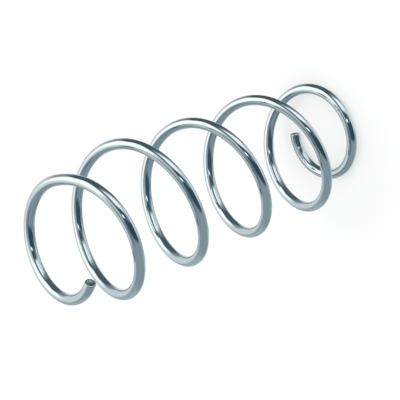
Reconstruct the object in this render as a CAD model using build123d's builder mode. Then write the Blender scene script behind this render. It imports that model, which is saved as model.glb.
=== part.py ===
from build123d import *

import os
from math import cos, pi, sin

os.makedirs("parts", exist_ok=True)

# A shock spring: one round wire, coiled cold into a right-hand compression spring.
# It stands on its pigtail, the small flat coil that sits in the lower seat of the strut.
# The coil axis is Z, the seat plane is z = 0, and the wire's lower end lies on the +X side.

# Driving dimensions, in millimetres and turns
wire_dia = 12.0
total_turns = 5.41  # from the lower cut end to the upper one

pigtail_radius = 41.5  # to the wire's centre, at the lower cut end
waist_radius = 71.0  # lower working coils
shoulder_radius = 77.5  # widest coil, near the top
crown_radius = 61.0  # the last coil, up to the upper cut end

pigtail_turns = 1.3  # the pigtail opens out to the waist over these
waist_end_turn = 2.75  # the waist runs straight up to here
shoulder_turn = 4.5  # where the shoulder is widest
crown_turn = 4.78  # the wire has drawn in to the crown's radius here, and keeps it

working_pitch = 96.0  # rise per turn of the working coils
crown_pitch = 49.0  # rise per turn towards which the crown coil closes
flat_turns = 0.65  # dead length of the pigtail that lies flat in its seat
lead_in_turns = 0.3  # over these the wire climbs from flat to the working pitch
crown_lead_turns = 1.65  # over these, up to the upper cut end, the crown coil closes
level_turns = 0.4  # over the last of them the wire levels out for the upper seat

end_break = 0.5  # edge broken round each cut end

# How finely the centreline is laid out
arcs_per_turn = 32
pitch_steps_per_turn = 400


def ease(start, end, turn):
    """Goes smoothly from 0 at start to 1 at end."""
    share = min(max((turn - start) / (end - start), 0.0), 1.0)
    return share * share * (3.0 - 2.0 * share)


def coil_radius(turn):
    """Distance of the wire's centre from the coil axis."""
    opening = (waist_radius - pigtail_radius) * ease(0.0, pigtail_turns, turn)
    swelling = (shoulder_radius - waist_radius) * ease(waist_end_turn, shoulder_turn, turn)
    drawing_in = (crown_radius - shoulder_radius) * ease(shoulder_turn, crown_turn, turn)
    return pigtail_radius + opening + swelling + drawing_in


def coil_pitch(turn):
    """Rise per turn: none in the flat pigtail, then the working pitch, less in the crown, none at its end."""
    climbing = working_pitch * ease(flat_turns, flat_turns + lead_in_turns, turn)
    closing = (working_pitch - crown_pitch) * ease(total_turns - crown_lead_turns, total_turns, turn)
    levelling = crown_pitch * ease(total_turns - level_turns, total_turns, turn)
    return climbing - closing - levelling


def coil_height(turn):
    """Height of the wire's centre: the pitch added up from the lower cut end."""
    steps = max(1, round(turn * pitch_steps_per_turn))
    step = turn / steps
    rise = sum(coil_pitch((index + 0.5) * step) for index in range(steps)) * step
    return wire_dia / 2 + rise


def wire_centre(turn):
    """A point on the wire's centreline."""
    angle = 2 * pi * turn
    radius = coil_radius(turn)
    return Vector(radius * cos(angle), radius * sin(angle), coil_height(turn))


# Coiled wire
arc_count = round(total_turns * arcs_per_turn)
coil_points = [wire_centre(total_turns * index / arc_count) for index in range(arc_count + 1)]

with BuildPart() as coil_spring:
    with BuildLine() as centreline:
        # The wire sets out flat and square to the X axis, and each arc takes up where the last one points
        direction = Vector(0, 1, 0)
        for arc_start, arc_end in zip(coil_points, coil_points[1:]):
            arc = TangentArc(arc_start, arc_end, tangent=direction)
            direction = arc % 1
    wire_path = centreline.wire()
    with BuildSketch(Plane(origin=wire_path @ 0, z_dir=wire_path % 0)) as wire_section:
        Circle(wire_dia / 2)
    sweep(path=wire_path)

    # Both cut ends are square, with the edge just broken
    cut_faces = coil_spring.faces().filter_by(GeomType.PLANE)
    chamfer(cut_faces.edges(), end_break)

coil_spring.part.label = "coil_spring"
export_step(coil_spring.part, "parts/coil_spring.step")

# The swept solid holds as much as its section times its length
wire_length = wire_path.length
section_area = pi * wire_dia**2 / 4
box = coil_spring.part.bounding_box()
print(f"wire {wire_length:.1f} mm long, volume ratio {coil_spring.part.volume / (section_area * wire_length):.5f}")
print(f"valid {coil_spring.part.is_valid}, box {box.min} to {box.max}")
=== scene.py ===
from math import cos, pi, radians, sin
from typing import NamedTuple

import bpy
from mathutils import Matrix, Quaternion, Vector


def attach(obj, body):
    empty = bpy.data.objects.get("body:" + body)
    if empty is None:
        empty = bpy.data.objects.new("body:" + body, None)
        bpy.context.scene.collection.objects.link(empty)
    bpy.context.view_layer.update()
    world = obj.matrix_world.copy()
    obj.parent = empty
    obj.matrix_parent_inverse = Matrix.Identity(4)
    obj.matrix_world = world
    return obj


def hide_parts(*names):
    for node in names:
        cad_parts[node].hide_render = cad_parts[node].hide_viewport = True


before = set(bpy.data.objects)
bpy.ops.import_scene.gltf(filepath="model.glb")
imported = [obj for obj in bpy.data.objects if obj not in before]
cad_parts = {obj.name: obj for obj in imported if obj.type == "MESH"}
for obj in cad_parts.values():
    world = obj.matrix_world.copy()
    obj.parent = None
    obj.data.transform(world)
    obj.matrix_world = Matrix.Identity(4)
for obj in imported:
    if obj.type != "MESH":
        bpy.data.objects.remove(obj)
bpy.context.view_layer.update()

UP = Vector((0.0, 0.0, 1.0))

# The wire, in metres and turns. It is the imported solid's own coil line.
WIRE_RADIUS = 0.006
TOTAL_TURNS = 5.41  # from the lower cut end to the upper one

PIGTAIL_RADIUS = 0.0415  # to the wire's centre, at the lower cut end
WAIST_RADIUS = 0.071  # lower working coils
SHOULDER_RADIUS = 0.0775  # widest coil, near the top
CROWN_RADIUS = 0.061  # the last coil, up to the upper cut end

PIGTAIL_TURNS = 1.3  # the pigtail opens out to the waist over these
WAIST_END_TURN = 2.75  # the waist runs straight up to here
SHOULDER_TURN = 4.5  # where the shoulder is widest
CROWN_TURN = 4.78  # the wire has drawn in to the crown's radius here, and keeps it

WORKING_PITCH = 0.096  # rise per turn of the working coils
CROWN_PITCH = 0.049  # rise per turn towards which the crown coil closes
FLAT_TURNS = 0.65  # dead length of the pigtail that lies flat in its seat
LEAD_IN_TURNS = 0.3  # over these the wire climbs from flat to the working pitch
CROWN_LEAD_TURNS = 1.65  # over these, up to the upper cut end, the crown coil closes
LEVEL_TURNS = 0.4  # over the last of them the wire levels out for the upper seat

EDGE_ROUND = 0.0012  # edge of each cut end, rolled over by the shear
DISH_DEPTH = 0.0005  # how far the shear drew the middle of each cut face in

# How finely the wire is meshed
RINGS_PER_TURN = 240
SIDES = 48
EDGE_RINGS = 8
FACE_RINGS = 8

# The unrolled layout of the surface: rows of wire one over another, and the two cut faces over them
LAYOUT_ROWS = 8
LAYOUT_FILL = 0.98  # how much of its room each row takes, so that it stays clear of the next one
ROW_HEIGHT = 0.115
DISC_RADIUS = 0.03
FIRST_DISC = (0.05, 0.96)
LAST_DISC = (0.15, 0.96)

# The mesh's two materials, by their place in its list
BRIGHT_STEEL, SHEARED_STEEL = 0, 1

# Bright steel: its tones, and how much each mark shows in tone, roughness and relief
DRAWN_TONES = ((0.735, 0.785, 0.815), (0.815, 0.855, 0.88))
LINE_TONE = (0.56, 0.63, 0.66)
PIT_TONE = (0.30, 0.32, 0.33)
LINE_TINT = 0.22
PIT_TINT = 0.7
POLISH_ROUGHNESS = (0.03, 0.08)  # from clear to hazy
LINE_ROUGHNESS = 0.04
PIT_ROUGHNESS = 0.3
LINE_RELIEF = 0.15
PIT_RELIEF = -0.5  # pits lie below the surface
RIDGE_RELIEF = 0.7  # long ridges left by the drawing
DRAWN_DEPTH = 0.00002  # metres of relief
DRAWN_STRENGTH = 0.6

# Sheared steel: its tones from bright to torn, and its roughness and relief
DRAG_TONES = ((0.70, 0.74, 0.77), (0.40, 0.43, 0.45))
TORN_TONE = (0.16, 0.17, 0.18)
TORN_TINT = 0.5
SHEARED_ROUGHNESS = (0.16, 0.38)
SHEARED_DEPTH = 0.0001  # metres of relief
SHEARED_STRENGTH = 0.7

# The floor
FLOOR_RADIUS = 6.0
FLOOR_SIDES = 96
FLOOR_TONES = ((0.975, 0.98, 0.98), (0.99, 0.99, 0.99))
FLOOR_LIFT = 0.55  # how much of the floor the camera sees as plain white, and the rest with its shadow

# The camera: where it stands round the spring, how it is turned about its own axis, and its lens
CAMERA_TARGET = Vector((0.0014, 0.0165, 0.2))
CAMERA_AZIMUTH = -157.2
CAMERA_ELEVATION = 37.27
CAMERA_ROLL = -112.21
CAMERA_DISTANCE = 1.6634
CAMERA_LENS = 135.0
CAMERA_SENSOR = 36.0

# The lamp overhead
LAMP_DIRECTION = (-60.0, 62.0)  # longitude and latitude, in degrees
LAMP_SIZE = 1.6
LAMP_DISTANCE = 2.5
LAMP_POWER = 8.0

# The studio that the polished wire mirrors: a wall, a floor, and panels before them. Angles are in degrees,
# and longitudes count from the camera's azimuth, so 0 is its own side and 180 the one behind the spring.
WHITE = (1.0, 1.0, 1.0)
WALL_COLOUR = (0.262, 0.340, 0.376)
FLOOR_COLOUR = (0.54, 0.63, 0.635)
FLOOR_EDGE = (-61.0, -36.0)  # between these latitudes the floor goes over into the wall
COIL_IN_COIL_COLOUR = (0.15, 0.205, 0.235)  # what the wire shows where it mirrors its own coils
FIRST_REFLECTION = 1.5  # over this glossy depth, a ray has left the wire more than once


class Panel(NamedTuple):
    """One soft box, flag or glow of the studio, with a soft edge."""

    colour: tuple
    longitude: float
    latitude: float
    half_width: float
    half_height: float
    softness: float
    turn: float = 0.0


# Later panels lie over earlier ones
PANELS = {
    "backdrop": Panel((0.86, 0.92, 0.92), 180.0, -37.0, 30.0, 21.0, softness=12.0),
    "left_wall": Panel((0.42, 0.49, 0.51), -158.0, -6.0, 30.0, 22.0, softness=13.0),
    "front_floor": Panel((0.78, 0.85, 0.85), 12.0, -62.0, 30.0, 20.0, softness=8.0),
    "floor_shade": Panel((0.19, 0.24, 0.26), 90.0, -57.0, 25.0, 13.0, softness=9.0),
    "left_shade": Panel((0.30, 0.37, 0.39), -58.0, -58.0, 17.0, 12.0, softness=9.0),
    "back_glow": Panel((0.74, 0.82, 0.80), 170.0, 44.0, 25.0, 18.0, softness=8.0),
    "high_glow": Panel((0.54, 0.60, 0.60), 66.0, 72.0, 40.0, 18.0, softness=12.0),
    "upper_box": Panel((1.24, 1.28, 1.24), 113.0, 49.0, 31.0, 27.0, softness=7.0, turn=-12.0),
    "right_wall": Panel((0.66, 0.74, 0.76), 158.0, 1.0, 26.0, 30.0, softness=8.0),
    "dark_column": Panel((0.030, 0.072, 0.107), -22.0, 9.0, 21.0, 48.0, softness=6.0),
    "dark_top": Panel((0.12, 0.175, 0.205), -55.0, 62.0, 20.0, 9.0, softness=7.0),
    "second_column": Panel((0.042, 0.086, 0.114), 11.0, 19.0, 11.0, 30.0, softness=5.0),
    "dark_flag": Panel((0.066, 0.108, 0.122), 90.0, -16.0, 25.0, 41.0, softness=7.0, turn=-8.0),
    "dark_arch": Panel((0.040, 0.070, 0.075), 47.0, 36.0, 30.0, 6.0, softness=4.0, turn=30.0),
    "front_box": Panel((1.02, 1.12, 1.14), 36.0, -7.0, 17.0, 26.0, softness=6.0, turn=12.0),
    "camera_lamp": Panel((2.2, 2.6, 2.9), 2.0, 34.0, 2.0, 9.0, softness=2.5),
}


# The coil line
def ease(start, end, turn):
    """Goes smoothly from 0 at start to 1 at end."""
    share = min(max((turn - start) / (end - start), 0.0), 1.0)
    return share * share * (3.0 - 2.0 * share)


def coil_radius(turn):
    """Distance of the wire's centre from the coil axis."""
    opening = (WAIST_RADIUS - PIGTAIL_RADIUS) * ease(0.0, PIGTAIL_TURNS, turn)
    swelling = (SHOULDER_RADIUS - WAIST_RADIUS) * ease(WAIST_END_TURN, SHOULDER_TURN, turn)
    drawing_in = (CROWN_RADIUS - SHOULDER_RADIUS) * ease(SHOULDER_TURN, CROWN_TURN, turn)
    return PIGTAIL_RADIUS + opening + swelling + drawing_in


def coil_pitch(turn):
    """Rise per turn: none in the flat pigtail, then the working pitch, less in the crown, none at its end."""
    climbing = WORKING_PITCH * ease(FLAT_TURNS, FLAT_TURNS + LEAD_IN_TURNS, turn)
    closing = (WORKING_PITCH - CROWN_PITCH) * ease(TOTAL_TURNS - CROWN_LEAD_TURNS, TOTAL_TURNS, turn)
    levelling = CROWN_PITCH * ease(TOTAL_TURNS - LEVEL_TURNS, TOTAL_TURNS, turn)
    return climbing - closing - levelling


def coil_line():
    """Points on the wire's centreline from the lower cut end to the upper one, with their coil angles."""
    count = round(TOTAL_TURNS * RINGS_PER_TURN)
    step = TOTAL_TURNS / count
    height = WIRE_RADIUS
    points, angles = [], []
    for index in range(count + 1):
        turn = index * step
        angle = 2 * pi * turn
        radius = coil_radius(turn)
        points.append(Vector((radius * cos(angle), radius * sin(angle), height)))
        angles.append(angle)
        height += coil_pitch(turn + step / 2) * step
    return points, angles


# The wire's surface
class Station(NamedTuple):
    """One place on the centreline, with the directions of the wire's section there."""

    centre: Vector
    along: Vector
    outward: Vector
    beside: Vector
    run: float  # length of wire from the lower cut end

    def surface_point(self, radius, angle, shift):
        """A point at that radius and angle in the section, moved along the wire by shift."""
        across = radius * (cos(angle) * self.outward + sin(angle) * self.beside)
        return self.centre + self.along * shift + across

    def straight_point(self, radius, angle, shift):
        """The same point on the straightened wire, which lies along Z."""
        return radius * cos(angle), radius * sin(angle), self.run + shift


def wire_stations():
    """The stations from the lower cut end to the upper one."""
    points, angles = coil_line()
    last = len(points) - 1
    stations = []
    run = 0.0
    for index, (centre, angle) in enumerate(zip(points, angles)):
        before, after = points[max(index - 1, 0)], points[min(index + 1, last)]
        along = (after - before).normalized()
        outward = Vector((cos(angle), sin(angle), 0.0))
        outward = (outward - outward.dot(along) * along).normalized()
        stations.append(Station(centre, along, outward, along.cross(outward), run))
        run += (after - centre).length
    return stations


def end_profile():
    """Rings from the middle of a cut face out over its rounded edge, as (radius, depth) pairs."""
    flat_radius = WIRE_RADIUS - EDGE_ROUND
    rings = []
    for index in range(1, FACE_RINGS + 1):
        share = index / FACE_RINGS
        rings.append((flat_radius * share, DISH_DEPTH * (1 - share**2) ** 2))
    for index in range(1, EDGE_RINGS):
        turned = pi / 2 * index / EDGE_RINGS
        rings.append((flat_radius + EDGE_ROUND * sin(turned), EDGE_ROUND * (1 - cos(turned))))
    return rings


def wire_rings(stations):
    """The rings of points from one cut face to the other, each as (station, radius, shift along the wire)."""
    first, last = stations[0], stations[-1]
    profile = end_profile()
    rings = [(first, radius, depth) for radius, depth in profile]
    for station in stations:
        if EDGE_ROUND <= station.run <= last.run - EDGE_ROUND:
            rings.append((station, WIRE_RADIUS, 0.0))
    rings += [(last, radius, -depth) for radius, depth in reversed(profile)]
    return rings


def wire_points(stations, rings):
    """All points, the middles of the two cut faces last: on the coil, and on the straightened wire."""
    places = []
    for station, radius, shift in rings:
        places += [(station, radius, 2 * pi * side / SIDES, shift) for side in range(SIDES)]
    places.append((stations[0], 0.0, 0.0, DISH_DEPTH))
    places.append((stations[-1], 0.0, 0.0, -DISH_DEPTH))
    bent = [station.surface_point(*place) for station, *place in places]
    straight = [station.straight_point(*place) for station, *place in places]
    return bent, straight


def row_place(row, share, side):
    """Where a point of the wire's side lies in the unrolled layout, by its share of the length."""
    along = (share * LAYOUT_ROWS - row) * LAYOUT_FILL
    return along, (row + side / SIDES * LAYOUT_FILL) * ROW_HEIGHT


def disc_place(place, on_last_cut):
    """Where a point of a cut face lies in the unrolled layout, over the rows."""
    centre = LAST_DISC if on_last_cut else FIRST_DISC
    return tuple(middle + DISC_RADIUS * offset / WIRE_RADIUS for middle, offset in zip(centre, place))


def ring_faces(straight, ring_count, length):
    """The faces between the rings: their corners, their material and where the corners lie in the layout."""
    for ring in range(ring_count - 1):
        on_last_cut = ring >= ring_count - FACE_RINGS
        on_cut = on_last_cut or ring < FACE_RINGS - 1
        near, far = ring * SIDES, (ring + 1) * SIDES
        row = int(LAYOUT_ROWS * straight[near][2] / length)
        for side in range(SIDES):
            beside = (side + 1) % SIDES
            corners = (near + side, near + beside, far + beside, far + side)
            if on_cut:
                layout = [disc_place(straight[corner], on_last_cut) for corner in corners]
            else:
                shares = [straight[corner][2] / length for corner in corners]
                around = (side, side + 1, side + 1, side)
                layout = [row_place(row, *place) for place in zip(shares, around)]
            yield corners, SHEARED_STEEL if on_cut else BRIGHT_STEEL, layout


def middle_faces(straight, ring_count):
    """The three-cornered faces round the middle of each cut face, given in the same way."""
    last_ring = (ring_count - 1) * SIDES
    first_middle = ring_count * SIDES
    last_middle = first_middle + 1
    for side in range(SIDES):
        beside = (side + 1) % SIDES
        on_first_cut = (first_middle, beside, side)
        on_last_cut = (last_middle, last_ring + side, last_ring + beside)
        yield on_first_cut, SHEARED_STEEL, [disc_place(straight[corner], False) for corner in on_first_cut]
        yield on_last_cut, SHEARED_STEEL, [disc_place(straight[corner], True) for corner in on_last_cut]


def wire_mesh():
    """The coiled wire as one closed mesh, with each point's place on the straightened wire kept beside it."""
    stations = wire_stations()
    rings = wire_rings(stations)
    points, straight = wire_points(stations, rings)
    faces = [*ring_faces(straight, len(rings), stations[-1].run), *middle_faces(straight, len(rings))]
    corners, materials, layouts = zip(*faces)

    mesh = bpy.data.meshes.new("spring_wire")
    mesh.from_pydata(points, [], corners)
    mesh.shade_smooth()
    mesh.polygons.foreach_set("material_index", materials)
    straight_wire = mesh.attributes.new("straight_wire", "FLOAT_VECTOR", "POINT")
    straight_wire.data.foreach_set("vector", [number for place in straight for number in place])
    unrolled = mesh.uv_layers.new(name="OFBake")
    unrolled.data.foreach_set("uv", [number for layout in layouts for place in layout for number in place])
    mesh.validate()
    mesh.update()
    return mesh


# Nodes
def link(tree, source, target):
    tree.links.new(source, target)


def node(tree, kind, **settings):
    """A new node with its settings, such as the operation of a maths node."""
    made = tree.nodes.new(kind)
    for name, value in settings.items():
        setattr(made, name, value)
    return made


def new_material(name):
    material = bpy.data.materials.new(name)
    material.use_nodes = True
    tree = material.node_tree
    return material, tree, tree.nodes["Principled BSDF"]


def noise(tree, place, marks, detail, roughness):
    """Noise from about 0 to 1, with so many marks a metre on each axis of the place."""
    stretch = node(tree, "ShaderNodeVectorMath", operation="MULTIPLY")
    stretch.inputs[1].default_value = marks
    link(tree, place, stretch.inputs[0])
    texture = node(tree, "ShaderNodeTexNoise")
    texture.inputs["Scale"].default_value = 1.0
    texture.inputs["Detail"].default_value = detail
    texture.inputs["Roughness"].default_value = roughness
    link(tree, stretch.outputs[0], texture.inputs["Vector"])
    return texture.outputs["Fac"]


def mapped(tree, value, given, wanted=(0.0, 1.0)):
    """Lays the given range of the value smoothly on the wanted one, and keeps it inside that."""
    scale = node(tree, "ShaderNodeMapRange", interpolation_type="SMOOTHSTEP")
    for name, number in zip(("From Min", "From Max", "To Min", "To Max"), (*given, *wanted)):
        scale.inputs[name].default_value = number
    link(tree, value, scale.inputs["Value"])
    return scale.outputs["Result"]


def worked_out(tree, operation, *values):
    """The result of a maths operation on one or two values, which are numbers or sockets."""
    maths = node(tree, "ShaderNodeMath", operation=operation)
    for socket, value in zip(maths.inputs, values):
        if isinstance(value, float):
            socket.default_value = value
        else:
            link(tree, value, socket)
    return maths.outputs[0]


def scaled(tree, value, factor):
    return worked_out(tree, "MULTIPLY", value, factor)


def added(tree, first, *others):
    for other in others:
        first = worked_out(tree, "ADD", first, other)
    return first


def blended(tree, share, first, second):
    """A colour that goes from first to second, which are colours or sockets, as share goes from 0 to 1."""
    mix = node(tree, "ShaderNodeMix", data_type="RGBA")
    link(tree, share, mix.inputs["Factor"])
    for socket, colour in ((mix.inputs[6], first), (mix.inputs[7], second)):
        if isinstance(colour, tuple):
            socket.default_value = (*colour, 1.0)
        else:
            link(tree, colour, socket)
    return mix.outputs[2]


def bumped(tree, height, distance, strength):
    bump = node(tree, "ShaderNodeBump")
    bump.inputs["Distance"].default_value = distance
    bump.inputs["Strength"].default_value = strength
    link(tree, height, bump.inputs["Height"])
    return bump.outputs["Normal"]


def straightened_place(tree):
    """The place on the straightened wire, in metres: X and Y across it, and Z along it."""
    return node(tree, "ShaderNodeAttribute", attribute_name="straight_wire").outputs["Vector"]


# Materials
def bright_steel():
    """Drawn and polished wire: fine lines along it, faint haze in patches, a few small pits."""
    material, tree, shader = new_material("bright_steel")
    place = straightened_place(tree)
    lines = noise(tree, place, marks=(1500.0, 1500.0, 12.0), detail=3.0, roughness=0.5)
    haze = noise(tree, place, marks=(90.0, 90.0, 22.0), detail=4.0, roughness=0.55)
    drift = noise(tree, place, marks=(25.0, 25.0, 3.5), detail=2.0, roughness=0.5)
    pits = noise(tree, place, marks=(1700.0, 1700.0, 1100.0), detail=1.0, roughness=0.4)
    ridges = noise(tree, place, marks=(380.0, 380.0, 5.0), detail=2.0, roughness=0.5)

    hazy = mapped(tree, haze, given=(0.48, 0.72), wanted=POLISH_ROUGHNESS)
    lined = mapped(tree, lines, given=(0.42, 0.68))
    pitted = mapped(tree, pits, given=(0.74, 0.82))

    tone = blended(tree, drift, *DRAWN_TONES)
    tone = blended(tree, scaled(tree, lined, LINE_TINT), tone, LINE_TONE)
    tone = blended(tree, scaled(tree, pitted, PIT_TINT), tone, PIT_TONE)
    link(tree, tone, shader.inputs["Base Color"])

    rough = added(tree, hazy, scaled(tree, lined, LINE_ROUGHNESS), scaled(tree, pitted, PIT_ROUGHNESS))
    link(tree, rough, shader.inputs["Roughness"])

    raised = scaled(tree, lines, LINE_RELIEF)
    sunk = scaled(tree, pitted, PIT_RELIEF)
    relief = added(tree, raised, sunk, scaled(tree, ridges, RIDGE_RELIEF))
    link(tree, bumped(tree, relief, DRAWN_DEPTH, DRAWN_STRENGTH), shader.inputs["Normal"])
    shader.inputs["Metallic"].default_value = 1.0
    return material


def sheared_steel():
    """The cut faces: dragged lines of the shear, with torn and darker patches over them."""
    material, tree, shader = new_material("sheared_steel")
    place = straightened_place(tree)
    drag = noise(tree, place, marks=(260.0, 3200.0, 1.0), detail=4.0, roughness=0.5)
    torn = noise(tree, place, marks=(900.0, 900.0, 1.0), detail=6.0, roughness=0.7)

    tone = blended(tree, mapped(tree, drag, given=(0.35, 0.7)), *DRAG_TONES)
    tone = blended(tree, mapped(tree, torn, given=(0.5, 0.7), wanted=(0.0, TORN_TINT)), tone, TORN_TONE)
    link(tree, tone, shader.inputs["Base Color"])
    rough = mapped(tree, torn, given=(0.3, 0.7), wanted=SHEARED_ROUGHNESS)
    link(tree, rough, shader.inputs["Roughness"])
    relief = added(tree, drag, torn)
    link(tree, bumped(tree, relief, SHEARED_DEPTH, SHEARED_STRENGTH), shader.inputs["Normal"])
    shader.inputs["Metallic"].default_value = 1.0
    return material


def floor_white():
    """Matt white floor with a very faint mottle, which the camera sees lifted towards white."""
    material, tree, shader = new_material("floor_white")
    place = node(tree, "ShaderNodeTexCoord").outputs["Object"]
    mottle = noise(tree, place, marks=(6.0, 6.0, 6.0), detail=3.0, roughness=0.5)
    link(tree, blended(tree, mottle, *FLOOR_TONES), shader.inputs["Base Color"])
    shader.inputs["Roughness"].default_value = 1.0
    shader.inputs["Specular IOR Level"].default_value = 0.0

    white = node(tree, "ShaderNodeEmission")
    lifted = node(tree, "ShaderNodeMixShader")
    to_camera = node(tree, "ShaderNodeLightPath").outputs["Is Camera Ray"]
    link(tree, scaled(tree, to_camera, FLOOR_LIFT), lifted.inputs["Fac"])
    link(tree, shader.outputs["BSDF"], lifted.inputs[1])
    link(tree, white.outputs["Emission"], lifted.inputs[2])
    link(tree, lifted.outputs["Shader"], tree.nodes["Material Output"].inputs["Surface"])
    return material


# What stands round the spring
def add_object(name, data):
    made = bpy.data.objects.new(name, data)
    bpy.context.scene.collection.objects.link(made)
    return made


def add_floor():
    corners = []
    for index in range(FLOOR_SIDES):
        angle = 2 * pi * index / FLOOR_SIDES
        corners.append((FLOOR_RADIUS * cos(angle), FLOOR_RADIUS * sin(angle), 0.0))
    mesh = bpy.data.meshes.new("floor")
    mesh.from_pydata(corners, [], [range(FLOOR_SIDES)])
    mesh.materials.append(floor_white())
    floor = add_object("floor", mesh)
    floor.visible_glossy = False


def towards(longitude, latitude):
    """The direction at that longitude and latitude, in degrees."""
    lon, lat = radians(longitude), radians(latitude)
    return Vector((cos(lat) * cos(lon), cos(lat) * sin(lon), sin(lat)))


def add_camera():
    data = bpy.data.cameras.new("camera")
    data.lens = CAMERA_LENS
    data.sensor_width = CAMERA_SENSOR
    camera = add_object("camera", data)
    away = towards(CAMERA_AZIMUTH, CAMERA_ELEVATION)
    camera.location = CAMERA_TARGET + away * CAMERA_DISTANCE
    camera.rotation_mode = "QUATERNION"
    upright = (-away).to_track_quat("-Z", "Y")
    rolled = Quaternion((0.0, 0.0, 1.0), radians(CAMERA_ROLL))
    camera.rotation_quaternion = upright @ rolled
    bpy.context.scene.camera = camera


def add_lamp():
    """A large soft lamp overhead, for the shadow on the floor."""
    light = bpy.data.lights.new("overhead_lamp", "AREA")
    light.shape = "DISK"
    light.size = LAMP_SIZE
    light.energy = LAMP_POWER
    lamp = add_object("overhead_lamp", light)
    away = towards(*LAMP_DIRECTION)
    lamp.location = away * LAMP_DISTANCE
    lamp.rotation_mode = "QUATERNION"
    lamp.rotation_quaternion = (-away).to_track_quat("-Z", "Y")
    lamp.visible_glossy = False


# The studio
def dot_product(tree, direction, axis):
    dot = node(tree, "ShaderNodeVectorMath", operation="DOT_PRODUCT")
    dot.inputs[1].default_value = axis
    link(tree, direction, dot.inputs[0])
    return dot.outputs["Value"]


def latitude_over(tree, direction, axis):
    """The direction's angle over the plane that is square to the axis, in radians."""
    return worked_out(tree, "ARCSINE", dot_product(tree, direction, axis))


def panel_share(tree, direction, panel):
    """1 inside the panel and 0 outside it, with a soft edge."""
    ahead = towards(CAMERA_AZIMUTH + panel.longitude, panel.latitude)
    level = ahead.cross(UP).normalized()
    right = Quaternion(ahead, -radians(panel.turn)) @ level
    to_right, to_front = dot_product(tree, direction, right), dot_product(tree, direction, ahead)
    across = worked_out(tree, "ARCTAN2", to_right, to_front)
    above = latitude_over(tree, direction, right.cross(ahead))
    shares = []
    for angle, half in ((across, panel.half_width), (above, panel.half_height)):
        size = worked_out(tree, "ABSOLUTE", angle)
        edge = (radians(half - panel.softness), radians(half + panel.softness))
        shares.append(mapped(tree, size, given=edge, wanted=(1.0, 0.0)))
    return worked_out(tree, "MULTIPLY", *shares)


def studio_world():
    """White to the camera, white light on matt things, and soft boxes and walls for the polished wire."""
    world = bpy.data.worlds.new("studio")
    bpy.context.scene.world = world
    world.use_nodes = True
    tree = world.node_tree
    direction = node(tree, "ShaderNodeTexCoord").outputs["Generated"]
    edge = [radians(latitude) for latitude in FLOOR_EDGE]
    floor_share = mapped(tree, latitude_over(tree, direction, UP), given=edge, wanted=(1.0, 0.0))
    mirrored = blended(tree, floor_share, WALL_COLOUR, FLOOR_COLOUR)
    for panel in PANELS.values():
        mirrored = blended(tree, panel_share(tree, direction, panel), mirrored, panel.colour)

    light_path = node(tree, "ShaderNodeLightPath").outputs
    again = worked_out(tree, "GREATER_THAN", light_path["Glossy Depth"], FIRST_REFLECTION)
    mirrored = blended(tree, again, mirrored, COIL_IN_COIL_COLOUR)
    colour = blended(tree, light_path["Is Glossy Ray"], WHITE, mirrored)
    colour = blended(tree, light_path["Is Camera Ray"], colour, WHITE)
    link(tree, colour, tree.nodes["Background"].inputs["Color"])


spring = add_object("spring_wire", wire_mesh())
spring.data.materials.append(bright_steel())
spring.data.materials.append(sheared_steel())
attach(spring, "root")
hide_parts("coil_spring")

studio_world()
add_floor()
add_lamp()
add_camera()
bpy.context.scene.view_settings.view_transform = "Standard"
